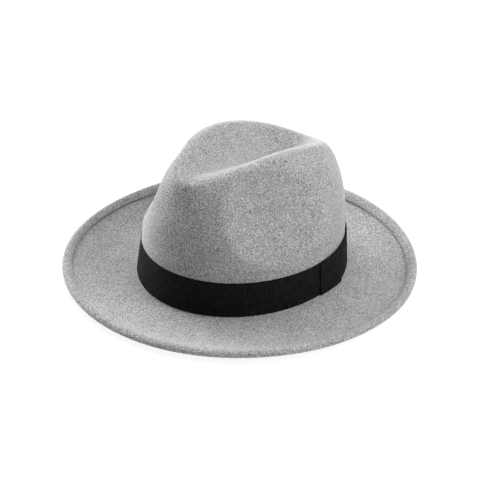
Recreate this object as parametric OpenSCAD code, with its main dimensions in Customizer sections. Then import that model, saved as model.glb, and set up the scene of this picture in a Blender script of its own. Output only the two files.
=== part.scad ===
// Pinch-front fedora with a teardrop crown, a wired overwelt brim, a ribbon band with a flat bow,
// and a sweatband with a hook-and-loop size adjuster.
// Millimetres, +Z up. The wearer faces -Y, and the bow is on the wearer's left, +X.
// The origin is under the middle of the brim, level with the brim's lowest point.
// An angle "a" runs round the hat from the middle of the front: 90 is the wearer's left, 180 the back.

/* [Head opening] */
// Half width of the felt at the foot of the crown
head_half_w = 84; // [78:0.5:90]
// Half length of the felt at the foot of the crown
head_half_l = 101; // [95:0.5:108]
// Thickness of the wool felt
felt_t = 2.2; // [1.8:0.1:2.6]
// Rise of the foot of the crown at the sides
foot_rise = 0.8; // [0:0.1:3]

/* [Crown] */
// Height of the nearly upright zone that the ribbon covers
band_zone = 31; // [28:1:36]
// How far the sides lean in over that zone
lean_side = 2.8; // [0:0.1:4]
// How far the front and back lean in over that zone
lean_end = 3.4; // [0:0.1:4]
// Half width of the crown's upper rim
rim_half_w = 39.9; // [34:0.1:46]
// Half length of the crown's upper rim
rim_half_l = 86; // [80:0.5:90]
// How far the rim's middle sits behind the middle of the hat
rim_back = 0.8; // [-3:0.1:4]
// Sharpness of the rim's front tip
rim_point = 0.15; // [0.05:0.01:0.4]
// Height of the rim at its front tip
rim_z_front = 109; // [102:0.5:114]
// Height of the rim at its highest point
rim_z_peak = 119; // [112:0.5:124]
// Height of the rim at the back
rim_z_back = 90; // [84:0.5:100]
// Angle of the rim's highest point
rim_peak_a = 78; // [60:1:100]
// Height of the crease's bottom line at its front end
crease_z_front = 102; // [96:0.5:106]
// Height of the crease's bottom line at its back end
crease_z_back = 82; // [74:0.5:86]

/* [Pinches] */
// Depth of each side pinch
pinch_depth = 14; // [6:0.5:16]
// Angle of the deepest point of a pinch
pinch_a = 57.5; // [50:0.5:66]
// Height of the deepest point of a pinch
pinch_z = 81.5; // [76:0.5:86]
// Reach of a pinch towards the front, in degrees
pinch_front = 25.5; // [20:0.5:30]
// Reach of a pinch towards the back, in degrees
pinch_back = 44; // [36:0.5:50]
// Reach of a pinch up and down
pinch_reach = 36.7; // [30:0.5:40]

/* [Brim] */
// Width of the brim at the front, seen from above
brim_w_front = 62; // [50:0.5:75]
// Width of the brim at the sides, seen from above
brim_w_side = 65.3; // [50:0.1:75]
// Width of the brim at the back, seen from above
brim_w_back = 59; // [50:0.5:75]
// Height of the brim's edge at the front, above the foot of the crown
edge_z_front = 1.6; // [-2:0.1:12]
// Height of the brim's edge at the sides
edge_z_side = 4.3; // [-2:0.1:12]
// Height of the brim's edge at the back
edge_z_back = 7.8; // [-2:0.1:12]
// How far the front droops before it turns up
dip_front = 3; // [2:0.1:6]
// How far the sides droop before they turn up
dip_side = 5; // [2:0.1:6]
// How far the back droops before it turns up
dip_back = 4; // [2:0.1:6]
// How late the brim turns up
brim_curl = 2.6; // [2:0.1:3.5]
// Width of the overwelt, the edge folded up onto the brim
welt_w = 8; // [6:0.5:12]
// Diameter of the brim wire
wire_d = 1; // [0.8:0.1:1.2]

/* [Ribbon] */
// Width of the ribbon
ribbon_w = 30; // [24:1:30]
// Thickness of the ribbon
ribbon_t = 0.4; // [0.3:0.1:0.6]
// Width of the bow's ribbon
bow_w = 31; // [28:0.2:32]
// How far the bow's front layer stands off beside the knot
bow_lift = 1.5; // [0:0.1:3]
// Angle of the bow's front end
bow_start_a = 88; // [70:1:95]
// Angle of the bow's back end
bow_end_a = 136; // [115:1:140]
// Width of the bow's knot, in degrees
knot_a = 8; // [6:1:12]

/* [Inside] */
// Height of the sweatband
sweat_h = 28; // [24:1:29]
// Thickness of the sweatband
sweat_t = 0.8; // [0.6:0.1:1]
// Height of the size adjuster's strap
strap_h = 10; // [8:1:11]

/* [Hidden] */

felt_grey = [0.66, 0.66, 0.67];
ribbon_black = [0.07, 0.07, 0.08];
sweat_black = [0.12, 0.12, 0.13];
steel_grey = [0.62, 0.63, 0.65];
thread_grey = [0.58, 0.58, 0.6];
thread_black = [0.1, 0.1, 0.11];

columns = 60;
step_a = 360 / columns;
top_rows = 6;
wall_rows = 12;
brim_rows = 7;
foot_r = 1;
welt_gap = 0.3;
channel_r = wire_d / 2 + 0.35;
ribbon_gap = 0.1;
stitch_d = 0.5;

// ---- Curves of the felt's outer face ----

// Eases from 0 to 1 as x goes from 0 to 1.
function ease(x) = let (c = min(1, max(0, x))) c * c * (3 - 2 * c);

// Angle from the front, 0 to 180 on either side.
function from_front(a) = let (w = a % 360, p = w < 0 ? w + 360 : w) p <= 180 ? p : 360 - p;

// A value that is front, side or back at those places and blends between them.
function by_side(a, front, side, back) =
    side + ((cos(a) > 0 ? front : back) - side) * cos(a) * cos(a);

function foot_z(a) = foot_rise * sin(a) * sin(a);

// A point "out" from the felt's outer face and "up" from the foot of the crown.
function on_band(a, out, up) = [
    (head_half_w - lean_side * up / band_zone + out) * sin(a),
    -(head_half_l - lean_end * up / band_zone + out) * cos(a),
    foot_z(a) + up];

rim_widest = max([for (a = [0 : 1 : 180]) sin(a) * pow(sin(a / 2), rim_point)]);

// The crown's upper rim: a teardrop with its tip at the front.
function rim_z(a) = let (f = from_front(a))
    rim_z_front + (rim_z_peak - rim_z_front) * ease(f / rim_peak_a)
    + (rim_z_back - rim_z_peak) * ease((f - rim_peak_a) / (180 - rim_peak_a));
function rim(a) = [
    rim_half_w * sin(a) * pow(abs(sin(a / 2)), rim_point) / rim_widest,
    rim_back - rim_half_l * cos(a),
    rim_z(a)];

// Depth of the pinch at an angle and height, with a crisp front edge and a soft back edge.
function pinch(a, z) = let (
    across = from_front(a) - pinch_a,
    u = across / (across < 0 ? pinch_front : pinch_back),
    w = (z - pinch_z) / pinch_reach,
    softness = 1.25 + 0.55 * ease((u + 0.6) / 1.4))
    pinch_depth * pow(max(0, 1 - u * u - w * w), softness);

// The crown's wall, from the top of the ribbon zone, v = 0, to the rim, v = 1.
function wall(a, v) = let (
    low = on_band(a, 0, band_zone),
    high = rim(a),
    out = pow(cos(90 * v), 2 / by_side(a, 1.5, 1, 2.1)),
    up = pow(sin(90 * v), 2 / by_side(a, 2.2, 1.75, 2.8)),
    z = low[2] + (high[2] - low[2]) * up,
    aim = [sin(a) * head_half_l, -cos(a) * head_half_w],
    push = pinch(a, z) * (1 - pow(v, 6)) / norm(aim))
    [high[0] + (low[0] - high[0]) * out - aim[0] * push,
     high[1] + (low[1] - high[1]) * out - aim[1] * push,
     z];

// The crown's top, from the crease's bottom line, r = 0, to the rim, r = 1.
function crown_top(a, r) = let (
    edge = rim(a),
    line_y = rim_back + (edge[1] - rim_back) * 0.45,
    low_z = crease_z_front + (crease_z_back - crease_z_front) * pow(ease(from_front(a) / 180), 1.3))
    [edge[0] * r, line_y + (edge[1] - line_y) * r, low_z + (edge[2] - low_z) * ease(r)];

function brim_w(a) = by_side(a, brim_w_front, brim_w_side, brim_w_back);

// The brim's top face at a distance "out" from the foot of the crown, raised by h along its normal.
function brim(a, out, h = 0) = let (
    w = brim_w(a),
    u = out / w,
    low_z = foot_z(a),
    dip = by_side(a, dip_front, dip_side, dip_back),
    rise = by_side(a, edge_z_front, edge_z_side, edge_z_back) - low_z + dip,
    slope = (rise * brim_curl * pow(u, brim_curl - 1) - dip) / w,
    up = h / norm([1, slope]))
    [(head_half_w + out - slope * up) * sin(a),
     -(head_half_l + out - slope * up) * cos(a),
     low_z + rise * pow(u, brim_curl) - dip * u + up];

// A point of the welt: "in" from the brim's outer edge, and h above the brim's top face.
function welt(a, in, h) = brim(a, brim_w(a) - in, h);

// ---- The felt's profile at one angle ----

fold_r = felt_t + welt_gap / 2;
channel_in = felt_t + channel_r;
channel_open = asin(welt_gap / 2 / channel_r);

// The outer face, from the crease's bottom line to the welt's raw edge.
function outer_profile(a) = concat(
    [for (k = [0 : top_rows - 1]) crown_top(a, k / top_rows)],
    [for (k = [wall_rows : -1 : 0]) wall(a, k / wall_rows)],
    [on_band(a, 0, band_zone * 0.5)],
    [for (turn = [20, 45, 70]) on_band(a, foot_r * (1 - cos(turn)), foot_r * (1 - sin(turn)))],
    [for (k = [0 : brim_rows]) brim(a, foot_r + (brim_w(a) - welt_w - foot_r) * k / brim_rows)]);

// Round the wire channel between the layers, over the raw edge and round the outer fold.
function welt_profile(a) = concat(
    [for (k = [0 : 6]) let (turn = -channel_open - (360 - 2 * channel_open) * k / 6)
        welt(a, channel_in + channel_r * cos(turn), welt_gap / 2 + channel_r * sin(turn))],
    [welt(a, welt_w, welt_gap), welt(a, welt_w, welt_gap + felt_t)],
    [for (turn = [90 : 30 : 270]) welt(a, fold_r * (1 + cos(turn)), welt_gap / 2 + fold_r * sin(turn))]);

outer_grid = [for (i = [0 : columns - 1]) outer_profile(i * step_a)];
outer_count = len(outer_grid[0]);

// The felt's inner face is its outer face moved in by the thickness.
function grid_point(i, k) = outer_grid[(i + columns) % columns][k];
function inner_point(i, k) = let (
    along = grid_point(i + 1, k) - grid_point(i - 1, k),
    down = grid_point(i, min(k + 1, outer_count - 1)) - grid_point(i, k - 1),
    n = cross(along, down))
    grid_point(i, k) + felt_t * n / norm(n);
function inner_line_point(i) = grid_point(i, 0) - [0, 0, felt_t];

felt_grid = [for (i = [0 : columns - 1]) concat(
    outer_grid[i],
    welt_profile(i * step_a),
    [for (k = [outer_count - 1 : -1 : 1]) inner_point(i, k)],
    [inner_line_point(i)])];

// The move that brings the brim's middle over the origin and the felt's lowest point to zero.
seat = [0, (brim_w_front - brim_w_back) / 2, -min([for (column = felt_grid) for (p = column) p[2]])];

// ---- Shared shapes ----

// A solid through closed sections with the same number of points, joined end to end or capped.
module loft(sections, ring) {
    n = len(sections);
    m = len(sections[0]);
    spans = ring ? n : n - 1;
    sides = [for (i = [0 : spans - 1]) for (k = [0 : m - 1]) let (
        p = i * m + k,
        q = i * m + (k + 1) % m,
        r = ((i + 1) % n) * m + (k + 1) % m,
        s = ((i + 1) % n) * m + k)
        each [[p, q, r], [p, r, s]]];
    caps = ring ? [] : [[for (k = [m - 1 : -1 : 0]) k], [for (k = [0 : m - 1]) (n - 1) * m + k]];
    polyhedron(points = [for (section = sections) each section], faces = concat(sides, caps));
}

// The two ends and every multiple of the step between them, so that neighbours share their facets.
function stops(a0, a1, step) =
    [a0, for (a = [step * (floor(a0 / step) + 1) : step : a1 - 0.01]) a, a1];

// A flat strip that follows the band zone: from angle a0 to a1, from "low" to "high" in height,
// with its inner face "out" from the felt's outer face.
module strip(a0, a1, low, high, out, thick, step = step_a) {
    loft([for (a = stops(a0, a1, step)) [
        on_band(a, out, low),
        on_band(a, out + thick, low),
        on_band(a, out + thick, high),
        on_band(a, out, high)]], false);
}

// A thread stitch: a short rod centred at a point, along a direction.
module stitch(at, along, length) {
    flat = norm([along[0], along[1]]);
    translate(at)
        rotate([0, atan2(flat, along[2]), atan2(along[1], along[0])])
            cylinder(h = length, d = stitch_d, center = true, $fn = 16);
}

// ---- The felt and what its welt holds ----

module felt_body() {
    m = len(felt_grid[0]);
    half = columns / 2;
    // Both end lines are shared by the two halves, so a column past the back reuses the mirrored point.
    ends = [0, m - 1];
    function id(i, k) = let (w = i % columns)
        (k == 0 || k == m - 1) && w > half ? (columns - w) * m + k : w * m + k;
    faces = [for (i = [0 : columns - 1]) for (k = [0 : m - 2]) let (
        p = id(i, k), q = id(i, k + 1), r = id(i + 1, k + 1), s = id(i + 1, k))
        each concat(
            p == s ? [] : [[p, s, r]],
            q == r ? [] : [[p, r, q]])];
    color(felt_grey) translate(seat)
        polyhedron(points = [for (column = felt_grid) each column], faces = faces);
}

// A point on a round tube of radius r that follows the welt's channel.
function channel_point(a, r, turn) = welt(a, channel_in + r * cos(turn), welt_gap / 2 + r * sin(turn));

module brim_wire() {
    color(steel_grey) translate(seat)
        loft([for (i = [0 : columns - 1])
            [for (turn = [315 : -45 : 0]) channel_point(i * step_a, wire_d / 2, turn)]], true);
}

// A crimped sleeve over the wire's two ends, at the back.
module wire_joiner() {
    inside = wire_d / 2 + 0.05;
    outside = wire_d / 2 + 0.2;
    color(steel_grey) translate(seat)
        loft([for (turn = [0 : 45 : 315]) concat(
            [for (a = [174 : step_a : 186]) channel_point(a, outside, turn)],
            [for (a = [186 : -step_a : 174]) channel_point(a, inside, turn)])], true);
}

module welt_stitching() {
    count = 120;
    stitch_in = welt_w - 2;
    color(thread_grey) translate(seat)
        for (i = [0 : count - 1]) let (
            a = (i + 0.5) * 360 / count,
            top = welt_gap + felt_t - 0.05,
            ahead = welt(a + 0.5, stitch_in, top),
            behind = welt(a - 0.5, stitch_in, top))
            stitch(welt(a, stitch_in, top), ahead - behind, 5);
}

// ---- The ribbon ----

ribbon_low = 1;
ribbon_high = ribbon_low + ribbon_w;
ribbon_out = ribbon_gap + ribbon_t;
knot_mid = (bow_start_a + bow_end_a) / 2;
bow_low = ribbon_low - 0.3;
bow_high = bow_low + bow_w;
// The layers of the bow, outwards: the knot's back, the loop's back and front, the knot's front.
knot_back = ribbon_out + ribbon_gap;
bow_back = knot_back + ribbon_t + ribbon_gap;
bow_front = bow_back + 2 * ribbon_t + 0.15;
knot_front = bow_front + ribbon_gap + ribbon_t;

module hat_band() {
    seam = 0.3;
    color(ribbon_black) translate(seat)
        strip(knot_mid + seam, knot_mid + 360 - seam, ribbon_low, ribbon_high, ribbon_gap, ribbon_t);
}

module band_tacks() {
    color(thread_black) translate(seat)
        for (a = [15 : 60 : 315])
            stitch(on_band(a, ribbon_gap, ribbon_high), [0, 0, 1], 2);
}

// How far the bow's front layer stands off: most beside the knot, nothing at the folds.
function bow_rise(a) = let (
    d = abs(a - knot_mid) - knot_a / 2,
    wing = (bow_end_a - bow_start_a - knot_a) / 2)
    bow_lift * ease(d / 3) * ease((wing - d) / (wing - 3));

// The bow is one flat loop of ribbon: two layers with a fold at each end.
module bow_loop() {
    n = 24;
    fold_a = 0.35;
    middle = (bow_back + bow_front) / 2;
    function layer_a(k) = bow_start_a + (bow_end_a - bow_start_a) * k / n;
    function back_layer(out) = [for (k = [0 : n]) [layer_a(k), out]];
    function front_layer(out) = [for (k = [n : -1 : 0]) [layer_a(k), out + bow_rise(layer_a(k))]];
    outer_path = concat(
        back_layer(bow_back),
        [[bow_end_a + fold_a, middle]],
        front_layer(bow_front),
        [[bow_start_a - fold_a, middle]]);
    inner_path = concat(
        back_layer(bow_back + ribbon_t),
        [[bow_end_a, middle]],
        front_layer(bow_front - ribbon_t),
        [[bow_start_a, middle]]);
    color(ribbon_black) translate(seat)
        loft([for (k = [0 : len(outer_path) - 1]) let (o = outer_path[k], i = inner_path[k]) [
            on_band(i[0], i[1], bow_low),
            on_band(o[0], o[1], bow_low),
            on_band(o[0], o[1], bow_high),
            on_band(i[0], i[1], bow_high)]], true);
}

// The knot is a short ribbon wrapped round the middle of the loop.
module bow_knot() {
    low = bow_low - ribbon_gap;
    high = bow_high + ribbon_gap;
    color(ribbon_black) translate(seat)
        difference() {
            strip(knot_mid - knot_a / 2, knot_mid + knot_a / 2, low - ribbon_t, high + ribbon_t,
                knot_back, knot_front - knot_back, 2);
            strip(knot_mid - knot_a, knot_mid + knot_a, low, high,
                knot_back + ribbon_t, knot_front - knot_back - 2 * ribbon_t, 2);
        }
}

module bow_tacks() {
    color(thread_black) translate(seat)
        for (a = [bow_start_a + 1.5, bow_end_a - 1.5]) for (up = [bow_low + 3, bow_high - 3]) let (
            ahead = on_band(a + 1, bow_front, up),
            behind = on_band(a - 1, bow_front, up))
            stitch(on_band(a, bow_front, up), ahead - behind, 1.6);
}

// ---- The inside ----

tape_t = 0.4;
tape_out = -(felt_t + 0.15 + tape_t);
sweat_out = tape_out - 0.1 - sweat_t;
sweat_low = 0.8;
strap_low = 4;
patch_t = 0.8;
patch_out = sweat_out - 0.15 - patch_t;
strap_t = 1;
strap_out = patch_out - 0.45 - strap_t;
back_r_w = head_half_w + strap_out + strap_t;
back_r_l = head_half_l + strap_out + strap_t;
// Radius of the head's back at the strap, and the axis that the strap slides about.
back_r = back_r_w * back_r_w / back_r_l;
slide_y = back_r_l - back_r;
// Angles about that axis: the sleeve's two ends, and the tip of the strap's tail at its loosest.
sleeve_a0 = 194;
sleeve_a1 = 214;
tail_tip_a = 171;

module sweatband() {
    color(sweat_black) translate(seat)
        strip(180.3, 539.7, sweat_low, sweat_low + sweat_h, sweat_out, sweat_t);
}

module sweatband_seam() {
    color(sweat_black) translate(seat)
        strip(176, 184, strap_low + strap_h + 3, sweat_low + sweat_h, sweat_out - 0.75, 0.5);
}

module sweatband_stitching() {
    count = 96;
    up = sweat_low + 1.6;
    color(thread_black) translate(seat)
        for (i = [0 : count - 1]) let (
            a = (i + 0.5) * 360 / count,
            ahead = on_band(a + 0.5, sweat_out, up),
            behind = on_band(a - 0.5, sweat_out, up))
            stitch(on_band(a, sweat_out, up), ahead - behind, 3.6);
}

module size_tape() {
    color(sweat_black) translate(seat)
        strip(206, 514, strap_low, strap_low + strap_h, tape_out, tape_t);
}

module loop_patch() {
    color(sweat_black) translate(seat)
        strip(146, 186, strap_low - 0.5, strap_low + strap_h + 0.5, patch_out, patch_t);
}

// An arc about the strap's sliding axis: its section leans in with the wall behind it.
module strap_arc(a0, a1, out, thick, low, high) {
    lean = lean_end / band_zone;
    translate([0, slide_y, 0])
        rotate([0, 0, a0 - 90])
            rotate_extrude(angle = a1 - a0, $fn = 180)
                polygon([
                    [back_r + out - lean * low, low],
                    [back_r + out + thick - lean * low, low],
                    [back_r + out + thick - lean * high, high],
                    [back_r + out - lean * high, high]]);
}

// The strap's tail slides inside the sleeve, which is sewn to the sweatband beside the loop patch.
module tape_sleeve() {
    wall_t = 0.5;
    space = 0.5;
    inner_t = strap_t + 2 * space;
    color(sweat_black) translate(seat)
        difference() {
            strap_arc(sleeve_a0, sleeve_a1, -strap_t - space - wall_t, inner_t + 2 * wall_t,
                strap_low - space - wall_t, strap_low + strap_h + space + wall_t);
            strap_arc(sleeve_a0 - 1, sleeve_a1 + 1, -strap_t - space, inner_t,
                strap_low - space, strap_low + strap_h + space);
        }
}

module hook_tab() {
    color(sweat_black) translate(seat)
        strap_arc(tail_tip_a, sleeve_a1 - 3, -strap_t, strap_t, strap_low, strap_low + strap_h);
}

felt_body();
brim_wire();
wire_joiner();
welt_stitching();
hat_band();
band_tacks();
bow_loop();
bow_knot();
bow_tacks();
sweatband();
sweatband_seam();
sweatband_stitching();
size_tape();
tape_sleeve();
loop_patch();
hook_tab();
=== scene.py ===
"""A pinch-front fedora: heather-grey wool felt, a black grosgrain band with a flat bow, and a fitted inside.

The felt is one closed skin, worked out from a few driving sizes with the same curves as the CAD part. Its
back brim turns up a little more than the CAD part's, and what the brim holds follows it. Sizes here are in
millimetres and become metres when a mesh is made. "a" is the angle round the hat in degrees: 0 is the middle
of the front, 90 the wearer's left, 180 the back. "out" is a distance outwards from the felt's outer face, and
"up" a height above the foot of the crown.
"""
import math

import bpy
import numpy as np
from mathutils import Matrix, Vector


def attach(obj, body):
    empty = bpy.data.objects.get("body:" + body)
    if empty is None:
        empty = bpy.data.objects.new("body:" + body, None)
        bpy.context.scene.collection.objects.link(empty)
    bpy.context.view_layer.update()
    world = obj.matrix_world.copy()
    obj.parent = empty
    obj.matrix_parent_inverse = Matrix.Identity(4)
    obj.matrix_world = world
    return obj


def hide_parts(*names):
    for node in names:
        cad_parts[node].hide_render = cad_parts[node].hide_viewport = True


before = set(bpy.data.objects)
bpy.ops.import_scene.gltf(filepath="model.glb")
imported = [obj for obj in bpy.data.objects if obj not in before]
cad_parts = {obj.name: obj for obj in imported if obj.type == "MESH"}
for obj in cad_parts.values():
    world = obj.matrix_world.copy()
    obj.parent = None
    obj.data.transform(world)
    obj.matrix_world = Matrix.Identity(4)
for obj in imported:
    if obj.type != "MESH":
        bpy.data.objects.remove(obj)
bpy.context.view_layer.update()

# ---- Driving sizes, in millimetres and degrees ----
#
# Most of the head's, crown's, pinches' and brim's values aren't measured one by one. They started as the
# output of separate Python scripts: one fitted a hat and a camera to outline points read off the photo, and
# a second refitted the brim.
# They were then rounded, and some were changed.

# The felt at the foot of the crown, and the nearly upright zone that the ribbon covers.
HEAD_W, HEAD_L = 84.0, 101.0
FELT_T = 2.2
FOOT_RISE = 0.8
FOOT_R = 1.0
BAND_ZONE = 31.0
LEAN_SIDE, LEAN_END = 2.8, 3.4

# The crown's upper rim, a teardrop, and the bottom line of the crease inside it.
RIM_W, RIM_L, RIM_BACK, RIM_POINT = 39.9, 86.0, 0.8, 0.15
RIM_Z_FRONT, RIM_Z_PEAK, RIM_Z_BACK, RIM_PEAK_A = 109.0, 119.0, 90.0, 78.0
# Smoothing the felt over the rim lowers it by about this much.
RIM_LIFT = 2.2
CREASE_Z_FRONT, CREASE_Z_BACK = 105.5, 83.0
# The crease line's length as a share of the rim's.
CREASE_SHARE = 0.45

# How full the wall's curve is at the front, sides and back, outwards and upwards.
WALL_OUT, WALL_UP = (1.5, 1.0, 2.1), (2.2, 1.75, 2.8)

# The two front pinches: how deep, where, and how far they reach forwards, backwards, and up and down.
PINCH_DEPTH, PINCH_A, PINCH_Z = 14.0, 57.5, 81.5
PINCH_FRONT, PINCH_BACK, PINCH_REACH = 25.5, 40.0, 36.7

# The brim at the front, sides and back: width, height of its edge, droop, and how late it turns up.
BRIM_W = (62.0, 65.6, 53.3)
EDGE_Z = (1.6, 4.2, 13.8)
DIP = (3.0, 4.8, 4.8)
BRIM_CURL = (2.6, 3.1, 2.6)
# The roll round the front edge: its width and drop, where it is full, and where it ends.
ROLL_W, ROLL_DROP, ROLL_FULL_A, ROLL_A = 12.0, 4.6, 35.0, 80.0
# The steeper turn behind the wearer's right side: its middle, reach, extra height and lost width.
TURN_A, TURN_REACH, TURN_UP, TURN_IN = 236.0, 58.0, 8.5, 8.7
# The overwelt, the brim's edge folded up on to it, with a wire inside.
WELT_W = 8.0
WELT_GAP = 0.3
WIRE_R = 0.5

# The ribbon and its bow, and the slack behind the ribbon.
RIBBON_W, RIBBON_T, RIBBON_LOW = 30.0, 0.4, 1.0
BOW_W = 31.0
BOW_A = (88.0, 136.0)
KNOT_A = 8.0
GAP = 0.1

# The sweatband, and the size strap on its inner face.
SWEAT_H, SWEAT_T, SWEAT_LOW = 28.0, 0.8, 0.8
STRAP_H, STRAP_LOW = 10.0, 4.0

# The hat's own centre, level with the foot of the crown, in the part's frame.
SEAT = np.array([0.0, 1.5, 2.9694])

# ---- Curves of the felt's outer face ----


def ease(x):
    """Eases from 0 to 1 as x goes from 0 to 1."""
    x = np.clip(x, 0.0, 1.0)
    return x * x * (3.0 - 2.0 * x)


def sin(a):
    """The sine of an angle in degrees."""
    return np.sin(np.radians(a))


def cos(a):
    """The cosine of an angle in degrees."""
    return np.cos(np.radians(a))


def from_front(a):
    """The angle from the middle of the front, the same on both sides of the hat."""
    a = np.mod(a, 360.0)
    return np.minimum(a, 360.0 - a)


def by_side(a, sizes):
    """A size that changes smoothly round the hat, from its values at the front, sides and back."""
    front, side, back = sizes
    return side + (np.where(cos(a) > 0, front, back) - side) * cos(a) ** 2


def stack(x, y, z):
    """Points from coordinates of any shapes that go together."""
    return np.stack(np.broadcast_arrays(x, y, z), axis=-1)


def on_band(a, out, up):
    """A point beside the nearly upright zone that the ribbon covers."""
    half_w = HEAD_W - LEAN_SIDE * up / BAND_ZONE + out
    half_l = HEAD_L - LEAN_END * up / BAND_ZONE + out
    return stack(half_w * sin(a), -half_l * cos(a), FOOT_RISE * sin(a) ** 2 + up)


def rim(a):
    """The crown's upper rim, a teardrop with its tip at the front."""
    every = np.linspace(0.0, 180.0, 721)
    widest = np.max(sin(every) * sin(every / 2) ** RIM_POINT)
    f = from_front(a)
    rise = (RIM_Z_PEAK - RIM_Z_FRONT) * ease(f / RIM_PEAK_A)
    fall = (RIM_Z_BACK - RIM_Z_PEAK) * ease((f - RIM_PEAK_A) / (180.0 - RIM_PEAK_A))
    return stack(
        RIM_W * sin(a) * np.abs(sin(np.asarray(a) / 2)) ** RIM_POINT / widest,
        RIM_BACK - RIM_L * cos(a),
        RIM_Z_FRONT + RIM_LIFT + rise + fall,
    )


def pinch(a, z):
    """Depth of the two front pinches, with a crisp front edge and a soft back edge."""
    across = from_front(a) - PINCH_A
    u = across / np.where(across < 0, PINCH_FRONT, PINCH_BACK)
    w = (z - PINCH_Z) / PINCH_REACH
    softness = 0.95 + 0.35 * ease((u + 0.6) / 1.4)
    return PINCH_DEPTH * np.maximum(0.0, 1.0 - u * u - w * w) ** softness


def wall(a, v):
    """The crown's wall, from the top of the ribbon zone, v = 0, to the rim, v = 1."""
    low, high = on_band(a, 0.0, BAND_ZONE), rim(a)
    out = np.clip(cos(90 * v), 0, 1) ** (2 / by_side(a, WALL_OUT))
    up = sin(90 * v) ** (2 / by_side(a, WALL_UP))
    z = low[..., 2] + (high[..., 2] - low[..., 2]) * up
    aim_x, aim_y = sin(a) * HEAD_L, -cos(a) * HEAD_W
    # A pinch pushes the wall straight in, and fades out at the rim.
    push = pinch(a, z) * (1 - v**6) / np.hypot(aim_x, aim_y)
    return stack(
        high[..., 0] + (low[..., 0] - high[..., 0]) * out - aim_x * push,
        high[..., 1] + (low[..., 1] - high[..., 1]) * out - aim_y * push,
        z,
    )


def crown_top(a, r):
    """The crown's top, from the crease's bottom line, r = 0, to the rim, r = 1."""
    edge = rim(a)
    line_y = RIM_BACK + (edge[..., 1] - RIM_BACK) * CREASE_SHARE
    low_z = CREASE_Z_FRONT + (CREASE_Z_BACK - CREASE_Z_FRONT) * ease(from_front(a) / 180) ** 1.3
    return stack(
        edge[..., 0] * r,
        line_y + (edge[..., 1] - line_y) * r,
        low_z + (edge[..., 2] - low_z) * ease(r),
    )


def turned_up(a):
    """How far the brim is in its steeper turn, behind the wearer's right side: 0 to 1."""
    return ease(1.0 - np.abs(np.mod(a, 360.0) - TURN_A) / TURN_REACH)


def brim_width(a):
    """The brim's width, seen from above."""
    return by_side(a, BRIM_W) - TURN_IN * turned_up(a)


def brim(a, out, h=0.0):
    """The brim's top face "out" from the foot of the crown, raised by h along its normal."""
    width, curl = brim_width(a), by_side(a, BRIM_CURL)
    u = np.maximum(out, 0.0) / width
    foot = FOOT_RISE * sin(a) ** 2
    dip = by_side(a, DIP)
    # Round the front the brim climbs a little and rolls over, down to its edge.
    drop = ROLL_DROP * ease((ROLL_A - from_front(a)) / (ROLL_A - ROLL_FULL_A))
    rolled = np.maximum(0.0, (out - width) / ROLL_W + 1.0)
    rise = by_side(a, EDGE_Z) + TURN_UP * turned_up(a) + drop - foot + dip
    slope = (rise * curl * u ** (curl - 1) - dip) / width - 2 * drop * rolled / ROLL_W
    up = h / np.hypot(1.0, slope)
    return stack(
        (HEAD_W + out - slope * up) * sin(a),
        -(HEAD_L + out - slope * up) * cos(a),
        foot + rise * u**curl - dip * u - drop * rolled**2 + up,
    )


def welt(a, inwards, h):
    """A point "inwards" from the brim's edge, raised by h from the brim's top face."""
    return brim(a, brim_width(a) - inwards, h)


# ---- Mesh making ----


def face_outwards(mesh):
    """A closed skin's faces all turned to look out of it."""
    mesh.calc_loop_triangles()
    used = np.empty(3 * len(mesh.loop_triangles), np.int32)
    mesh.loop_triangles.foreach_get("vertices", used)
    points = np.empty(3 * len(mesh.vertices), np.float32)
    mesh.vertices.foreach_get("co", points)
    p, q, r = points.reshape(-1, 3)[used].reshape(-1, 3, 3).transpose(1, 0, 2)
    if np.sum(p * np.cross(q, r)) < 0:
        mesh.flip_normals()


def make_mesh(name, points, faces, uv=None):
    """An object from millimetre points beside the hat's axis, moved to the part's frame, in metres."""
    mesh = bpy.data.meshes.new(name)
    points = (np.asarray(points) + SEAT) / 1000.0
    mesh.from_pydata(points.tolist(), [], faces)
    if uv is not None:
        layer = mesh.uv_layers.new(name="cloth")
        layer.data.foreach_set("uv", np.asarray(uv, np.float32).ravel())
    mesh.polygons.foreach_set("use_smooth", [True] * len(mesh.polygons))
    face_outwards(mesh)
    mesh.update()
    piece = bpy.data.objects.new(name, mesh)
    bpy.context.scene.collection.objects.link(piece)
    return piece


def tube_mesh(name, grid, ring, run=None, rise=None):
    """A closed skin through sections: grid is (sections, points round a section, xyz).

    run is each section's place along the cloth, and rise each section point's place across it.
    """
    n, m = grid.shape[:2]
    spans = n if ring else n - 1
    faces, uv = [], []
    if run is None:
        run = np.arange(n + 1, dtype=float)
    if rise is None:
        rise = np.arange(m, dtype=float)
    for i in range(spans):
        j = (i + 1) % n
        for k in range(m):
            q = (k + 1) % m
            faces.append((i * m + k, i * m + q, j * m + q, j * m + k))
            uv += [(run[s], rise[t]) for s, t in ((i, k), (i, q), (i + 1, q), (i + 1, k))]
    if not ring:
        faces.append(tuple(range(m - 1, -1, -1)))
        uv += [(run[0], rise[k]) for k in range(m - 1, -1, -1)]
        faces.append(tuple((n - 1) * m + k for k in range(m)))
        uv += [(run[n - 1], rise[k]) for k in range(m)]
    return make_mesh(name, grid.reshape(-1, 3), faces, np.array(uv) / 1000.0)


def flat_section(low, high, out, thick, rows):
    """(out, up) points round a strip's section, up its outer face and down its inner face, edges rounded."""
    r = thick / 2
    turn = np.linspace(0, 180, 7)
    ups = np.linspace(low + r, high - r, rows)[1:-1]
    top = [(out + r + r * cos(t), high - r + r * sin(t)) for t in turn]
    bottom = [(out + r - r * cos(t), low + r - r * sin(t)) for t in turn]
    outer = [(out + thick, up) for up in ups]
    inner = [(out, up) for up in ups[::-1]]
    return np.array(outer + top + inner + bottom)


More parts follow.
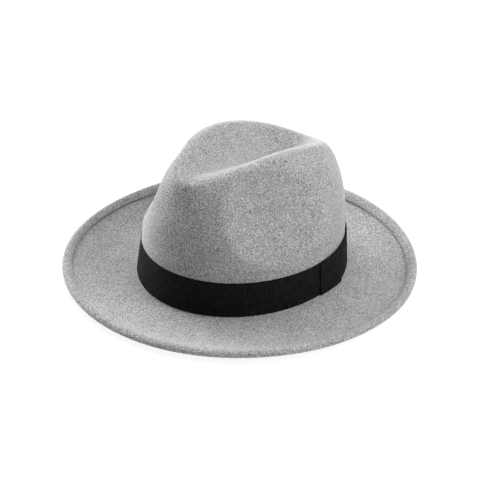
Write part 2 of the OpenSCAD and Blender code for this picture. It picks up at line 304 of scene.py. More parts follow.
def corners(outs, ups):
    """(out, up, angle) round the four corners of a flat tube, from its upper outer corner."""
    middles = [(outs[1], ups[1]), (outs[0], ups[1]), (outs[0], ups[0]), (outs[1], ups[0])]
    return [(x, y, 90 * i + t) for i, (x, y) in enumerate(middles) for t in np.linspace(0, 90, 6)]


def run_round(points):
    """Distance along a closed path at each of its points, and back at the first, in millimetres."""
    steps = np.linalg.norm(np.diff(np.vstack([points, points[:1]]), axis=0), axis=1)
    return np.append(0.0, np.cumsum(steps))


def run_along(a):
    """Distance round the band at each angle, in millimetres."""
    steps = np.linalg.norm(np.diff(on_band(a, 0.0, 0.0), axis=0), axis=1)
    return np.append(0.0, np.cumsum(steps))


def band_piece(name, a0, a1, section, step=1.0, ripple=None):
    """A strip of cloth round the band zone, with an (out, up) section. ripple(a, up) moves it outwards."""
    count = math.ceil((a1 - a0) / step)
    a = a0 + (a1 - a0) * np.arange(count + 1) / count
    outs, ups = section[None, :, 0], section[None, :, 1]
    moved = outs + (ripple(a[:, None], ups) if ripple else 0.0)
    grid = on_band(a[:, None], moved, ups)
    return tube_mesh(name, grid, False, run_along(a), section[:, 1])


def threads(name, paths, r):
    """Short lengths of sewing thread as one piece, thinner at their ends: paths is (threads, points, xyz)."""
    sides = 8
    count, n = paths.shape[:2]
    run = np.gradient(paths, axis=1)
    across = np.cross(paths * [1.0, 1.0, 0.0], run)
    beyond = np.cross(run, across)
    across = across / np.linalg.norm(across, axis=2, keepdims=True)
    beyond = beyond / np.linalg.norm(beyond, axis=2, keepdims=True)
    radius = r * np.sqrt(1.0 - 0.85 * np.linspace(-1, 1, n) ** 4)
    turn = np.arange(sides) * 360.0 / sides
    rings = across[:, :, None] * cos(turn)[:, None] + beyond[:, :, None] * sin(turn)[:, None]
    points = paths[:, :, None] + radius[:, None, None] * rings
    faces = []
    for start in range(0, count * n * sides, n * sides):
        for at in range(start, start + (n - 1) * sides, sides):
            for k in range(sides):
                q = (k + 1) % sides
                faces.append((at + k, at + q, at + sides + q, at + sides + k))
        faces.append(tuple(range(start + sides - 1, start - 1, -1)))
        faces.append(tuple(range(start + (n - 1) * sides, start + n * sides)))
    return make_mesh(name, points.reshape(-1, 3), faces)


# ---- The felt ----

COLUMNS = 480
TOP_ROWS, WALL_ROWS, ZONE_ROWS, FOOT_ROWS, FLOOR_ROWS = 30, 73, 11, 7, 41
# Beside the crease line: how many rows of the other side the smoothing takes in, and over how many rows
# the felt's thickness turns to straight down.
MIRRORED_ROWS = 12
TURNED_ROWS = 6
# How broadly the felt bends: on the crown, more over its rim, and most at the rim's tip.
CROWN_BEND, RIM_BEND, TIP_BEND, RIM_REACH = 1.9, 3.4, 1.6, 14.0
CHANNEL_R = WIRE_R + 0.35
CHANNEL_IN = FELT_T + CHANNEL_R
FOLD_R = FELT_T + WELT_GAP / 2


def smooth_along(grid, sigma):
    """Each column's points averaged along it, over a distance of sigma, which has a value for each point."""
    steps = np.linalg.norm(np.diff(grid, axis=1), axis=2)
    place = np.concatenate([np.zeros((len(grid), 1)), np.cumsum(steps, axis=1)], axis=1)
    share = np.gradient(place, axis=1)
    out = np.empty_like(grid)
    for k in range(grid.shape[1]):
        weight = np.exp(-(((place - place[:, k : k + 1]) / sigma[:, k : k + 1]) ** 2) / 2) * share
        out[:, k] = np.einsum("ij,ijx->ix", weight, grid) / weight.sum(axis=1, keepdims=True)
    return out


def smooth_round(grid, passes, amount):
    """Neighbouring columns averaged, by an amount for each point of a column."""
    for _ in range(passes):
        middle = (np.roll(grid, 1, axis=0) + np.roll(grid, -1, axis=0)) / 2
        grid = grid + (middle - grid) * amount[None, :, None]
    return grid


def felt_outer(a):
    """The outer face: crease line, rim, wall, ribbon zone, foot and brim, as (columns, points, xyz)."""
    a = a[:, None]
    top = crown_top(a, np.linspace(0, 1, TOP_ROWS + 1)[None, :-1])
    side = wall(a, np.linspace(1, 0, WALL_ROWS)[None, :])
    zone = on_band(a, 0.0, np.linspace(BAND_ZONE, FOOT_R, ZONE_ROWS + 2)[None, 1:-1])
    turn = np.linspace(0, 90, FOOT_ROWS + 1)[None, :-1]
    foot = on_band(a, FOOT_R * (1 - cos(turn)), FOOT_R * (1 - sin(turn)))
    share = np.linspace(0, 1, FLOOR_ROWS)[None, :]
    floor = brim(a, FOOT_R + (brim_width(a) - WELT_W - FOOT_R) * share)
    grid = np.concatenate([top, side, zone, foot, floor], axis=1)
    # Felt bends broadly over the rim, and more tightly everywhere else.
    to_rim = np.concatenate([np.arange(TOP_ROWS, 0, -1) / 3, np.arange(WALL_ROWS)])
    broad = RIM_BEND + TIP_BEND * ease(1.15 - from_front(a) / 65)
    crown = CROWN_BEND + broad * np.exp(-((to_rim / RIM_REACH) ** 2))[None, :]
    fine = np.concatenate([np.full(ZONE_ROWS, 1.6), np.full(FOOT_ROWS, 0.7), np.full(FLOOR_ROWS, 1.0)])
    sigma = np.concatenate([crown, np.broadcast_to(fine, (len(a), len(fine)))], axis=1)
    # The crease line's two sides are one surface, so each column is smoothed on through its mirror image.
    lead = slice(MIRRORED_ROWS, 0, -1)
    mirrored = grid[:, lead] * np.array([-1.0, 1.0, 1.0])
    both = smooth_along(
        np.concatenate([mirrored, grid], axis=1),
        np.concatenate([sigma[:, lead], sigma], axis=1),
    )
    # Neighbouring columns are evened out over the wall only.
    amount = np.repeat([0.0, 0.5, 0.0], [TOP_ROWS, WALL_ROWS, ZONE_ROWS + FOOT_ROWS + FLOOR_ROWS])
    made = smooth_round(both[:, MIRRORED_ROWS:], 6, amount)
    made[:, -1] = grid[:, -1]
    return made


def welt_outer(a):
    """Under the flap, round the wire's channel, over the raw edge and round the outer fold."""
    a = a[:, None]
    opening = math.degrees(math.asin(WELT_GAP / 2 / CHANNEL_R))
    under = [(x, 0.0) for x in (7.0, 5.5)]
    turn = np.linspace(-opening, -360 + opening, 11)
    channel = [(CHANNEL_IN + CHANNEL_R * cos(t), WELT_GAP / 2 + CHANNEL_R * sin(t)) for t in turn]
    flap = [(5.5, WELT_GAP), (7.2, WELT_GAP), (7.8, WELT_GAP + 0.03)]
    raw = [(8.05, 0.5), (8.11, 0.8), (8.08, 1.08), (7.94, 1.32), (7.65, 1.52), (7.15, 1.75)]
    top = [(6.5, 1.98), (6.0, 2.14), (5.4, 2.32), (4.7, 2.5), (4.0, 2.64), (3.3, 2.7)]
    turn = np.linspace(90, 270, 13)
    fold = [(FOLD_R * (1 + cos(t)), WELT_GAP / 2 + FOLD_R * sin(t)) for t in turn]
    # The top face swells a little where it runs into the fold.
    fold[0] = (2.6, 2.66)
    under_side = [(x, -FELT_T) for x in (3.4, 4.6, 5.8, 7.0)]
    points = np.array(under + channel + flap + raw + top + fold + under_side)
    return welt(a, points[None, :, 0], points[None, :, 1])


def felt_inner(outer):
    """The outer face moved in by the felt's thickness, from the welt back to the crease line."""
    along = np.roll(outer, -1, axis=0) - np.roll(outer, 1, axis=0)
    down = np.gradient(outer, axis=1)
    normal = np.cross(along, down)
    size = np.linalg.norm(normal, axis=2, keepdims=True)
    normal = normal / np.maximum(size, 1e-9)
    inner = outer + FELT_T * normal
    inner[:, 0] = outer[:, 0] - [0, 0, FELT_T]
    # Close to the crease line the columns crowd together, so the offset turns to straight down there.
    for k in range(1, TURNED_ROWS):
        share = k / TURNED_ROWS
        straight = outer[:, k] - [0, 0, FELT_T]
        inner[:, k] = straight + (inner[:, k] - straight) * share
    return inner[:, ::-1]


def build_felt():
    """The whole felt as one closed skin, whose columns on both sides of the crease line share its points."""
    a = np.arange(COLUMNS) * 360.0 / COLUMNS
    outer = felt_outer(a)
    grid = np.concatenate([outer, welt_outer(a), felt_inner(outer)], axis=1)
    n, m = grid.shape[:2]
    half = n // 2
    rows = np.arange(n)
    ids = rows[:, None] * m + np.arange(m)[None, :]
    shared = np.where(rows > half, n - rows, rows)
    ids[:, 0] = shared * m
    ids[:, -1] = shared * m + m - 1
    following = np.roll(ids, -1, axis=0)
    faces = np.stack([ids[:, :-1], following[:, :-1], following[:, 1:], ids[:, 1:]], axis=-1)
    faces = faces.reshape(-1, 4)
    used = np.unique(faces)
    renumber = np.zeros(n * m, dtype=int)
    renumber[used] = np.arange(len(used))
    return make_mesh("felt_hat", grid.reshape(-1, 3)[used], renumber[faces].tolist())


# ---- Materials ----


def new_material(name, **sockets):
    """A Principled material with fixed values on its own sockets, and its node tree to add to."""
    material = bpy.data.materials.new(name)
    material.use_nodes = True
    tree = material.node_tree
    shader = next(n for n in tree.nodes if n.type == "BSDF_PRINCIPLED")
    for socket, value in sockets.items():
        shader.inputs[socket.replace("_", " ")].default_value = value
    return material, tree, shader


def node(tree, kind, **values):
    """A node with its settings, and with its inputs as in_Name."""
    made = tree.nodes.new(kind)
    for key, value in values.items():
        if key.startswith("in_"):
            made.inputs[key[3:].replace("_", " ")].default_value = value
        else:
            setattr(made, key, value)
    return made


def noise(tree, place, scale, detail=2.0, roughness=0.5, stretch=None, turn=(0, 0, 0)):
    """Noise at a place on or in a piece, drawn out along one direction where stretch is given."""
    if stretch is not None:
        mapping = node(tree, "ShaderNodeMapping", in_Scale=stretch, in_Rotation=turn)
        tree.links.new(place, mapping.inputs["Vector"])
        place = mapping.outputs["Vector"]
    made = node(tree, "ShaderNodeTexNoise", in_Scale=scale, in_Detail=detail, in_Roughness=roughness)
    tree.links.new(place, made.inputs["Vector"])
    return made.outputs["Fac"]


def maths(tree, operation, a, b=None):
    """One sum in the node tree, of numbers or of other nodes' outputs."""
    made = node(tree, "ShaderNodeMath", operation=operation)
    for i, value in enumerate(v for v in (a, b) if v is not None):
        if isinstance(value, (int, float)):
            made.inputs[i].default_value = value
        else:
            tree.links.new(value, made.inputs[i])
    return made.outputs[0]


def blend(tree, *parts):
    """The sum of several values, each times its own share."""
    total = None
    for value, share in parts:
        scaled = maths(tree, "MULTIPLY", value, share)
        total = scaled if total is None else maths(tree, "ADD", total, scaled)
    return total


def waves(tree, place, pitch):
    """A sine with one wave in each pitch."""
    return maths(tree, "SINE", maths(tree, "MULTIPLY", place, 2 * math.pi / pitch))


def grey(level):
    """A neutral grey."""
    return (level, level, level)


def ramp(tree, factor, stops):
    """Colour from a value, through stops of (value, colour)."""
    made = node(tree, "ShaderNodeValToRGB")
    elements = made.color_ramp.elements
    while len(elements) < len(stops):
        elements.new(0.5)
    for element, (position, colour) in zip(elements, stops):
        element.position = position
        element.color = (*colour, 1.0)
    tree.links.new(factor, made.inputs["Fac"])
    return made.outputs["Color"]


def bump(tree, shader, height, distance, strength=1.0):
    """Fine relief on a material."""
    made = node(tree, "ShaderNodeBump", in_Strength=strength, in_Distance=distance)
    tree.links.new(height, made.inputs["Height"])
    tree.links.new(made.outputs["Normal"], shader.inputs["Normal"])


# Distance from rib to rib and from weft thread to weft thread in the ribbon, in metres.
RIB_PITCH, WEFT_PITCH = 0.0011, 0.0004


def wool_felt():
    """Blended light and dark wool: short crossing fibres, small clumps and a faint broad mottle."""
    material, tree, shader = new_material(
        "heather_felt", Roughness=0.95, Specular_IOR_Level=0.15, Sheen_Weight=1.0, Sheen_Roughness=0.35
    )
    place = node(tree, "ShaderNodeTexCoord").outputs["Object"]
    clumps = noise(tree, place, 600.0, detail=2.0)
    grain = noise(tree, place, 2300.0, detail=1.0)
    fibres_a = noise(tree, place, 2700.0, detail=1.0, stretch=(1.0, 0.33, 0.7), turn=(0.4, 0.9, 0.3))
    fibres_b = noise(tree, place, 2700.0, detail=1.0, stretch=(0.35, 1.0, 0.7), turn=(1.1, 0.2, 0.8))
    broad = noise(tree, place, 45.0, detail=2.0)
    mixed = blend(tree, (fibres_a, 0.33), (fibres_b, 0.33), (grain, 0.22), (clumps, 0.12))
    mottle = maths(tree, "SUBTRACT", broad, 0.5)
    tone = maths(tree, "ADD", mixed, maths(tree, "MULTIPLY", mottle, 0.035))
    colour = ramp(
        tree,
        tone,
        [
            (0.38, (0.015, 0.015, 0.016)),
            (0.47, (0.215, 0.217, 0.224)),
            (0.53, (0.42, 0.423, 0.433)),
            (0.61, grey(0.76)),
        ],
    )
    tree.links.new(colour, shader.inputs["Base Color"])
    bump(tree, shader, mixed, 0.0006, 0.6)
    return material


def on_cloth(tree):
    """The place on a strip of cloth, and how far along and across the strip it is, in metres."""
    cloth = node(tree, "ShaderNodeUVMap", uv_map="cloth").outputs["UV"]
    split = node(tree, "ShaderNodeSeparateXYZ")
    tree.links.new(cloth, split.inputs[0])
    return cloth, split.outputs["X"], split.outputs["Y"]


def grosgrain():
    """Black corded ribbon: round ribs across its width, with the fine weft over them."""
    material, tree, shader = new_material(
        "ribbed_ribbon", Roughness=0.75, Specular_IOR_Level=0.1, Sheen_Weight=0.01, Sheen_Roughness=0.4
    )
    cloth, along, across = on_cloth(tree)
    # A rib is half a wave, with its trough turned up.
    ribs = maths(tree, "ABSOLUTE", waves(tree, along, 2 * RIB_PITCH))
    weft = waves(tree, across, WEFT_PITCH)
    height = maths(tree, "ADD", ribs, maths(tree, "MULTIPLY", weft, 0.08))
    # Painted reflection differs a little along each rib's length, lint and weave lighten small spots, and a
    # painted highlight lightens each rib's crest.
    streaks = noise(tree, cloth, 950.0, detail=1.5, stretch=(1.0, 0.13, 1.0))
    specks = noise(tree, cloth, 1100.0, detail=2.0, roughness=0.7)
    shade = blend(tree, (streaks, 0.4), (specks, 0.6), (ribs, 0.12))
    dark, light = (0.0002, 0.0002, 0.0003), (0.0138, 0.0138, 0.0146)
    tree.links.new(ramp(tree, shade, [(0.525, dark), (0.64, light)]), shader.inputs["Base Color"])
    bump(tree, shader, height, 0.00022, 0.8)
    return material


def woven(name, dark, light, pitch, roughness):
    """A plain woven cloth of crossing threads."""
    material, tree, shader = new_material(name, Roughness=roughness, Specular_IOR_Level=0.3, Sheen_Weight=0.1)
    _, along, across = on_cloth(tree)
    weave = maths(tree, "MULTIPLY", waves(tree, along, pitch), waves(tree, across, pitch))
    level = maths(tree, "ADD", maths(tree, "MULTIPLY", weave, 0.5), 0.5)
    tree.links.new(ramp(tree, level, [(0.0, dark), (1.0, light)]), shader.inputs["Base Color"])
    bump(tree, shader, weave, 0.00015, 0.8)
    return material


def thread(name, dark, light):
    """Twisted sewing thread."""
    material, tree, shader = new_material(name, Roughness=0.6, Specular_IOR_Level=0.3, Sheen_Weight=0.2)
    place = node(tree, "ShaderNodeTexCoord").outputs["Object"]
    twist = noise(tree, place, 2500.0, detail=1.0)
    tree.links.new(ramp(tree, twist, [(0.3, dark), (0.7, light)]), shader.inputs["Base Color"])
    bump(tree, shader, twist, 0.0001)
    return material


def pile():
    """The soft half of a hook-and-loop fastening."""
    material, tree, shader = new_material(
        "soft_pile", Roughness=0.95, Specular_IOR_Level=0.1, Sheen_Weight=0.4
    )
    place = node(tree, "ShaderNodeTexCoord").outputs["Object"]
    loops = noise(tree, place, 1800.0, detail=3.0, roughness=0.7)
    colour = ramp(tree, loops, [(0.35, (0.004, 0.004, 0.005)), (0.7, (0.035, 0.035, 0.038))])
    tree.links.new(colour, shader.inputs["Base Color"])
    bump(tree, shader, loops, 0.0006)
    return material


def spring_wire():
    """Drawn steel, with faint changes of colour and polish."""
    material, tree, shader = new_material("drawn_steel", Metallic=1.0)
    place = node(tree, "ShaderNodeTexCoord").outputs["Object"]
    drawn = noise(tree, place, 1500.0, detail=1.0)
    colour = ramp(tree, drawn, [(0.0, (0.42, 0.42, 0.44)), (1.0, (0.6, 0.6, 0.61))])
    tree.links.new(colour, shader.inputs["Base Color"])
    rough = node(tree, "ShaderNodeMapRange", in_To_Min=0.25, in_To_Max=0.45)
    tree.links.new(drawn, rough.inputs["Value"])
    tree.links.new(rough.outputs["Result"], shader.inputs["Roughness"])
    return material


def settle(piece, material, stands_for, body="hat"):
    """Gives a piece its material, ties it to its body, and hides the CAD part that it stands for."""
    piece.data.materials.append(material)
    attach(piece, body)
    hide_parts(stands_for)
    return piece


felt = wool_felt()
ribbon = grosgrain()
sweat_cloth = woven("sweat_cloth", (0.006, 0.006, 0.007), (0.022, 0.022, 0.024), 0.0009, 0.8)
tape_cloth = woven("tape_cloth", (0.008, 0.008, 0.009), (0.03, 0.03, 0.033), 0.0007, 0.6)
thread_black = thread("thread_black", (0.006, 0.006, 0.007), (0.02, 0.02, 0.022))
thread_grey = thread("thread_grey", (0.25, 0.25, 0.26), (0.45, 0.45, 0.46))
wire = spring_wire()
loop_pile = pile()

settle(build_felt(), felt, "felt_body")

# ---- What the brim's welt holds ----

# Places along a stitch, from end to end.
STITCH = np.linspace(-1, 1, 9)[None, :]


def channel_point(a, r, turn):
    """A point of a round tube that follows the welt's channel."""
    return welt(a, CHANNEL_IN + r * cos(turn), WELT_GAP / 2 + r * sin(turn))


def build_wire():
    """The ring of wire in the welt's channel."""
    a = np.arange(COLUMNS) * 360.0 / COLUMNS
    turn = np.arange(0, 360, 30)
    return tube_mesh("brim_wire_ring", channel_point(a[:, None], WIRE_R, turn[None, :]), True)


def build_wire_sleeve():
    """A short steel sleeve over the wire's two ends, crimped on to each of them."""
    a = np.linspace(174, 186, 61)
    crimp = np.exp(-(((np.abs(a - 180) - 3.2) / 0.7) ** 2))
    turn = np.arange(0, 360, 20)[:, None]
    outer = channel_point(a, WIRE_R + 0.2 - 0.07 * crimp, turn)
    inner = channel_point(a, WIRE_R + 0.06 - 0.04 * crimp, turn)
    return tube_mesh("wire_sleeve_crimped", np.concatenate([outer, inner[:, ::-1]], axis=1), True)


def build_welt_stitches():
    """A single row of stitches through both layers of the welt, near its raw edge."""
    count = 120
    a = (np.arange(count)[:, None] + 0.5) * 360 / count + 0.95 * STITCH
    return threads("welt_stitch_row", welt(a, WELT_W - 2.0, 2.24 - 0.45 * STITCH**4), 0.2)


settle(build_wire(), wire, "brim_wire")
settle(build_wire_sleeve(), wire, "wire_joiner")
settle(build_welt_stitches(), thread_grey, "welt_stitching")

# ---- The ribbon and its bow ----

RIBBON_OUT = GAP + RIBBON_T
KNOT_MID = sum(BOW_A) / 2
BOW_LOW = RIBBON_LOW - 0.3
BOW_HIGH = BOW_LOW + BOW_W
BOW_T = 0.3
TOUCH = 0.05
KNOT_BACK = RIBBON_OUT + TOUCH
BOW_BACK = KNOT_BACK + BOW_T + TOUCH
BOW_FRONT = BOW_BACK + 2 * BOW_T + 0.1
KNOT_FRONT = BOW_FRONT + TOUCH + BOW_T


def band_ripple(a, up):
    """The ribbon lies a hair off the felt in places, a little more along its upper edge."""
    lift = 0.5 + 0.5 * sin(3 * a + 40) * sin(5 * a + 10)
    return 0.12 * lift * (0.4 + 0.6 * (up - RIBBON_LOW) / RIBBON_W)


band_section = flat_section(RIBBON_LOW, RIBBON_LOW + RIBBON_W, GAP, RIBBON_T, 10)
band = band_piece(
    "ribbon_band", KNOT_MID + 0.3, KNOT_MID + 359.7, band_section, step=0.75, ripple=band_ripple
)
settle(band, ribbon, "hat_band")


def bow_rise(a, up):
    """How far the bow's front layer stands off: most beside the knot, nothing at the folds.

    The front wing gapes along its lower edge, and the back wing lies almost flat.
    """
    d = np.abs(a - KNOT_MID) - KNOT_A / 2
    wing = (BOW_A[1] - BOW_A[0] - KNOT_A) / 2
    share = (up - BOW_LOW) / BOW_W
    lift = np.where(a < KNOT_MID, 2.1 - 1.3 * share, 0.15)
    return lift * ease(d / 1.8) * ease((wing - d) / (wing - 1.8))


def build_bow():
    """One flat loop of ribbon: two layers with a fold at each end, cut as a closed path round the loop."""
    a = np.linspace(*BOW_A, 129)
    turn = np.linspace(0, 180, 9)[1:-1]
    r = (BOW_FRONT - BOW_BACK) / 2
    middle = BOW_BACK + r
    bend = 0.35

    def path(shift, rounding):
        """(a, out, share of the rise) along the loop: front layer, back fold, back layer, front fold."""
        front = [(x, BOW_FRONT - shift, 1.0) for x in a]
        past, deep = bend * rounding * sin(turn), (r - shift) * cos(turn)
        back_fold = [(BOW_A[1] + x, middle + y, 0.0) for x, y in zip(past, deep)]
        back = [(x, BOW_BACK + shift, 0.0) for x in a[::-1]]
        front_fold = [(BOW_A[0] - x, middle - y, 0.0) for x, y in zip(past, deep)]
        return np.array(front + back_fold + back + front_fold)

    ups = np.linspace(BOW_LOW, BOW_HIGH, 11)

    def layer(points):
        """One face of the loop's ribbon, along the path and across the ribbon."""
        turned, out, share = (points[:, k : k + 1] for k in range(3))
        return on_band(turned, out + share * bow_rise(turned, ups[None, :]), ups[None, :])

    outer, inner = layer(path(0.0, 1.0)), layer(path(BOW_T, 0.25))
    grid = np.concatenate([outer, inner[:, ::-1]], axis=1)
    return tube_mesh("bow_loop_ribbon", grid, True, run_round(outer[:, 0]), np.append(ups, ups[::-1]))


bow = settle(build_bow(), ribbon, "bow_loop")


def build_knot():
    """A short ribbon wrapped round the middle of the bow, its long edges turned slightly in."""
    t = BOW_T
    low, high = BOW_LOW - TOUCH - t, BOW_HIGH + TOUCH + t
    r = 0.5
    path = corners((KNOT_BACK + r, KNOT_FRONT - r), (low + r, high - r))
    outer = np.array([(x + r * cos(s), y + r * sin(s)) for x, y, s in path])
    inner = np.array([(x + (r - t) * cos(s), y + (r - t) * sin(s)) for x, y, s in path])
    a = np.linspace(KNOT_MID - KNOT_A / 2, KNOT_MID + KNOT_A / 2, 25)
    crown = 0.15 * (1 - ((a - KNOT_MID) / (KNOT_A / 2)) ** 4)
    outer_rows, inner_rows = (
        [on_band(a, x + (crown if x > BOW_FRONT else 0.0), y) for x, y in face] for face in (outer, inner)
    )
    grid = np.stack([np.concatenate([o, i[::-1]]) for o, i in zip(outer_rows, inner_rows)])
    width = run_along(a)
    return tube_mesh("bow_knot_ribbon", grid, True, run_round(outer), np.append(width, width[::-1]))


knot = settle(build_knot(), ribbon, "bow_knot")

# ---- The inside: sweatband, size tape and the hook-and-loop size strap ----

# From the felt inwards: the size tape, the sweatband, the loop patch and the strap, with slack between.
TAPE_T = 0.4
TAPE_OUT = -(FELT_T + 0.15 + TAPE_T)
SWEAT_OUT = TAPE_OUT - 0.1 - SWEAT_T
PATCH_T = 0.8
PATCH_OUT = SWEAT_OUT - 0.15 - PATCH_T
STRAP_T = 1.0
STRAP_OUT = PATCH_OUT - 0.45 - STRAP_T
# The strap slides on a round path about an upright axis, as round as the head's back curve.
BACK_W, BACK_L = HEAD_W + STRAP_OUT + STRAP_T, HEAD_L + STRAP_OUT + STRAP_T
BACK_R = BACK_W**2 / BACK_L
SLIDE_Y = BACK_L - BACK_R
# The seam that holds the sweatband: how many stitches, and how far up from its edge.
SWEAT_STITCHES, SWEAT_SEAM_UP = 96, 1.6
# Where each strip starts and ends round the hat.
SWEAT_A = (180.04, 539.96)
SEAM_A = (176.0, 184.0)
TAPE_A = (206.0, 514.0)
PATCH_A = (146.0, 186.0)
SLEEVE_A = (194.0, 214.0)
STRAP_A = (171.0, 211.0)


def sweatband_section():
    """A band with a turned and stitched hem along both edges, and a thinner middle."""
    low, high, hem, r = SWEAT_LOW, SWEAT_LOW + SWEAT_H, 3.2, SWEAT_T / 2
    sunk = 0.22
    turn = np.linspace(0, 180, 7)
    back = [(SWEAT_OUT + SWEAT_T, up) for up in np.linspace(low + r, high - r, 12)[1:-1]]
    top = [(SWEAT_OUT + r + r * cos(t), high - r + r * sin(t)) for t in turn]
    # Where a hem ends, the face sinks by the thickness of its turned edge, in a short slope.
    slope = [(0.0, 0.0), (0.06, 0.2), (sunk, 0.35)]
    step = [(SWEAT_OUT + deep, high - hem - past) for deep, past in slope]
    middle = [(SWEAT_OUT + sunk, up) for up in np.linspace(high - hem - 1.5, low + hem + 1.5, 8)]
    rise = [(SWEAT_OUT + deep, low + hem + past) for deep, past in slope[::-1]]
    bottom = [(SWEAT_OUT + r - r * cos(t), low + r - r * sin(t)) for t in turn]
    return np.array(back + top + step + middle + rise + bottom)


def sweatband_ripple(a, up):
    """The seam puckers the band a little at each stitch, and the free upper edge waves gently."""
    share = (up - SWEAT_LOW) / SWEAT_H
    from_seam = up - SWEAT_LOW - SWEAT_SEAM_UP
    pucker = -0.05 * cos(SWEAT_STITCHES * a) * np.exp(-((from_seam / 2.2) ** 2))
    return pucker - 0.25 * share**2 * (0.5 + 0.5 * sin(4 * a + 30) * sin(7 * a))


sweatband = band_piece(
    "sweatband_hemmed", *SWEAT_A, sweatband_section(), step=0.5, ripple=sweatband_ripple
)
settle(sweatband, sweat_cloth, "sweatband")

# The seam tape bulges a little over the sweatband's joint.
seam_section = flat_section(STRAP_LOW + STRAP_H + 3, SWEAT_LOW + SWEAT_H, SWEAT_OUT - 0.75, 0.5, 10)
seam = band_piece(
    "sweatband_seam_tape",
    *SEAM_A,
    seam_section,
    step=0.4,
    ripple=lambda a, up: -0.25 * (1 - ((a - 180) / 4) ** 2),
)
settle(seam, tape_cloth, "sweatband_seam")

tape_section = flat_section(STRAP_LOW, STRAP_LOW + STRAP_H, TAPE_OUT, TAPE_T, 6)
size_tape = band_piece("size_tape_woven", *TAPE_A, tape_section)
settle(size_tape, tape_cloth, "size_tape")

tufts = np.random.default_rng(7)
patch_section = flat_section(STRAP_LOW - 0.5, STRAP_LOW + STRAP_H + 0.5, PATCH_OUT, PATCH_T, 28)
patch = band_piece(
    "loop_patch_pile",
    *PATCH_A,
    patch_section,
    step=0.3,
    ripple=lambda a, up: tufts.uniform(-0.14, 0.02, np.broadcast_shapes(a.shape, up.shape)),
)
settle(patch, loop_pile, "loop_patch")


def on_strap(a, out, up):
    """A point on the strap's round path about its sliding axis, leaning in with the wall behind it."""
    r = BACK_R + out - LEAN_END / BAND_ZONE * up
    return stack(r * sin(a), SLIDE_Y - r * cos(a), np.asarray(up, float))


def build_sleeve():
    """A flat tube of tape, open at both ends, that the strap's tail slides through."""
    wall_t, space, r = 0.5, 0.5, 0.8
    outs = (-STRAP_T - space - wall_t + r, space + wall_t - r)
    ups = (STRAP_LOW - space - wall_t + r, STRAP_LOW + STRAP_H + space + wall_t - r)
    a = np.linspace(*SLEEVE_A, 41)
    rows = []
    for x, y, t in corners(outs, ups):
        outer = on_strap(a, x + r * cos(t), y + r * sin(t))
        inner = on_strap(a, x + (r - wall_t) * cos(t), y + (r - wall_t) * sin(t))
        rows.append(np.concatenate([outer, inner[::-1]]))
    grid = np.stack(rows)
    width = BACK_R * np.radians(a - a[0])
    return tube_mesh("tape_sleeve_woven", grid, True, run_round(grid[:, 0]), np.append(width, width[::-1]))


sleeve = settle(build_sleeve(), tape_cloth, "tape_sleeve")


def build_strap():
    """The size strap: a woven strip with its corners rounded at the hook end."""
    length = BACK_R * math.radians(STRAP_A[1] - STRAP_A[0])
    r = 3
    end = np.linspace(0, r, 13)[:-1] ** 2 / r
    along = np.concatenate([end, np.linspace(r, length, 60)])
    a = STRAP_A[0] + np.degrees(along / BACK_R)
    section = flat_section(0.0, STRAP_H, -STRAP_T, STRAP_T, 12)
    inset = r - np.sqrt(r**2 - np.clip(r - along, 0, r) ** 2)
    narrowed = (STRAP_H - 1.4 * inset) / STRAP_H
    ups = STRAP_LOW + STRAP_H / 2 + (section[None, :, 1] - STRAP_H / 2) * narrowed[:, None]
    grid = on_strap(a[:, None], section[None, :, 0], ups)
    return tube_mesh("size_strap_woven", grid, False, along, section[:, 1])


strap = settle(build_strap(), tape_cloth, "hook_tab", body="size_strap")

# ---- Black thread: tacks of the ribbon and the bow, and the sweatband's seam ----


def build_band_tacks():
    """Upright tacks over the ribbon's upper edge, from its face into the felt."""
    a = np.arange(15.0, 360.0, 60.0)[:, None]
    face = RIBBON_OUT + band_ripple(a, RIBBON_LOW + RIBBON_W)
    out = face * ease((1 - STITCH) / 0.9) + 0.08 - 0.35 * STITCH**4
    return threads("ribbon_tacks", on_band(a, out, RIBBON_LOW + RIBBON_W + STITCH), 0.18)


def build_bow_tacks():
    """A short level tack near each corner of the bow."""
    a = np.repeat([BOW_A[0] + 1.5, BOW_A[1] - 1.5], 2)[:, None] + 0.5 * STITCH
    up = np.tile([BOW_LOW + 3, BOW_HIGH - 3], 2)[:, None]
    out = BOW_FRONT + bow_rise(a, up) + 0.06 - 0.3 * STITCH**4
    return threads("bow_corner_tacks", on_band(a, out, up), 0.18)


def build_sweatband_stitches():
    """One row of stitches round the sweatband's lower hem, which holds it to the felt."""
    a = (np.arange(SWEAT_STITCHES)[:, None] + 0.5) * 360 / SWEAT_STITCHES + 1.13 * STITCH
    up = SWEAT_LOW + SWEAT_SEAM_UP
    out = SWEAT_OUT + sweatband_ripple(a, up) - 0.1 + 0.35 * STITCH**4
    return threads("sweatband_stitch_row", on_band(a, out, up), 0.2)


settle(build_band_tacks(), thread_black, "band_tacks")
settle(build_bow_tacks(), thread_black, "bow_tacks")
settle(build_sweatband_stitches(), thread_black, "sweatband_stitching")

# ---- Floor, light and camera ----


def compass(azimuth, elevation):
    """The direction from the hat to a place round it: azimuth 0 is in front, 90 on the wearer's left."""
    azimuth, elevation = math.radians(azimuth), math.radians(elevation)
    level = math.cos(elevation)
    return Vector((math.sin(azimuth) * level, -math.cos(azimuth) * level, math.sin(elevation)))


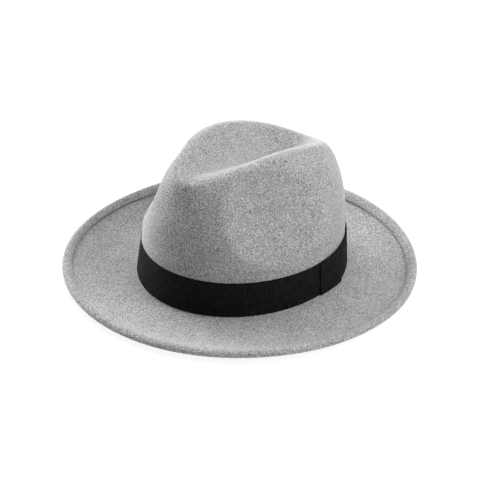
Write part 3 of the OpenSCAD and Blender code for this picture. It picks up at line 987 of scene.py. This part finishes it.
def build_floor():
    """A lit white table top, which glows a little, so the hat's shadow on it stays faint."""
    mesh = bpy.data.meshes.new("floor")
    half = 6.0
    points = [(-half, -half, 0), (half, -half, 0), (half, half, 0), (-half, half, 0)]
    mesh.from_pydata(points, [], [(0, 1, 2, 3)])
    floor = bpy.data.objects.new("floor", mesh)
    bpy.context.scene.collection.objects.link(floor)
    material, tree, shader = new_material(
        "pale_floor",
        Roughness=0.9,
        Specular_IOR_Level=0.0,
        Emission_Color=(1, 1, 1, 1),
        Emission_Strength=0.88,
    )
    place = node(tree, "ShaderNodeTexCoord").outputs["Object"]
    grain = noise(tree, place, 30.0, detail=2.0)
    tree.links.new(ramp(tree, grain, [(0.0, grey(0.14)), (1.0, grey(0.16))]), shader.inputs["Base Color"])
    mesh.materials.append(material)


def soft_box(name, azimuth, elevation, distance, size, watts):
    """A square area light that faces the hat from a compass direction, in degrees, metres and watts."""
    light = bpy.data.lights.new(name, "AREA")
    light.shape = "SQUARE"
    light.size = size
    light.energy = watts
    lamp = bpy.data.objects.new(name, light)
    back = compass(azimuth, elevation)
    middle = Vector((0, 0, 0.05))
    lamp.location = middle + back * distance
    lamp.rotation_mode = "QUATERNION"
    lamp.rotation_quaternion = back.to_track_quat("Z", "Y")
    bpy.context.scene.collection.objects.link(lamp)


def build_world():
    """A pale surround behind the table, which itself gives the hat only a little light."""
    world = bpy.data.worlds.new("studio")
    world.use_nodes = True
    tree = world.node_tree
    background = tree.nodes["Background"]
    background.inputs["Color"].default_value = (1, 1, 1, 1)
    seen = node(tree, "ShaderNodeLightPath").outputs["Is Camera Ray"]
    strength = maths(tree, "ADD", maths(tree, "MULTIPLY", seen, 0.97), 0.03)
    tree.links.new(strength, background.inputs["Strength"])
    bpy.context.scene.world = world


def build_camera():
    """The camera stands on the wearer's left of the front, and looks down on the crown."""
    back, roll = compass(35.0, 29.39), math.radians(-3.52)
    # Where the hat stands, the frame's width and its middle's place beside and above the hat, in metres.
    # These and the angles are the output of the outline fit, rounded. It worked in pixels of the photo, and
    # frame_w, beside and above are its scale and offsets restated in metres. report.md gives its own values.
    distance, frame_w = 1.4207, 0.41826
    beside, above = -0.00174, 0.01852
    target = Vector(SEAT / 1000.0)
    data = bpy.data.cameras.new("camera")
    data.sensor_width = 36.0
    data.lens = data.sensor_width * distance / frame_w
    data.shift_x = beside / frame_w
    data.shift_y = above / frame_w
    data.clip_start, data.clip_end = 0.1, 20.0
    camera = bpy.data.objects.new("camera", data)
    camera.matrix_world = Matrix.Translation(target + back * distance) @ (
        back.to_track_quat("Z", "Y").to_matrix().to_4x4() @ Matrix.Rotation(-roll, 4, "Z")
    )
    bpy.context.scene.collection.objects.link(camera)
    bpy.context.scene.camera = camera


build_floor()
build_world()
# The first six lights and their watts come from a separate Python script, which solved for them against the
# photo's tones. They were then rounded, merged or changed. right_top was added.
soft_box("overhead", 217, 70, 1.8, 1.2, 19.0)
soft_box("left_high", 95, 44, 1.8, 1.2, 18.5)
soft_box("left_near", 120, 30, 0.9, 0.7, 2.6)
soft_box("back_right_low", 250, 8, 1.8, 1.2, 14.0)
soft_box("right_low", 275, 8, 1.8, 1.2, 22.0)
soft_box("right", 275, 24, 1.8, 1.2, 12.0)
soft_box("right_top", 260, 45, 1.8, 1.2, 6.0)
build_camera()
bpy.context.scene.view_settings.view_transform = "Standard"
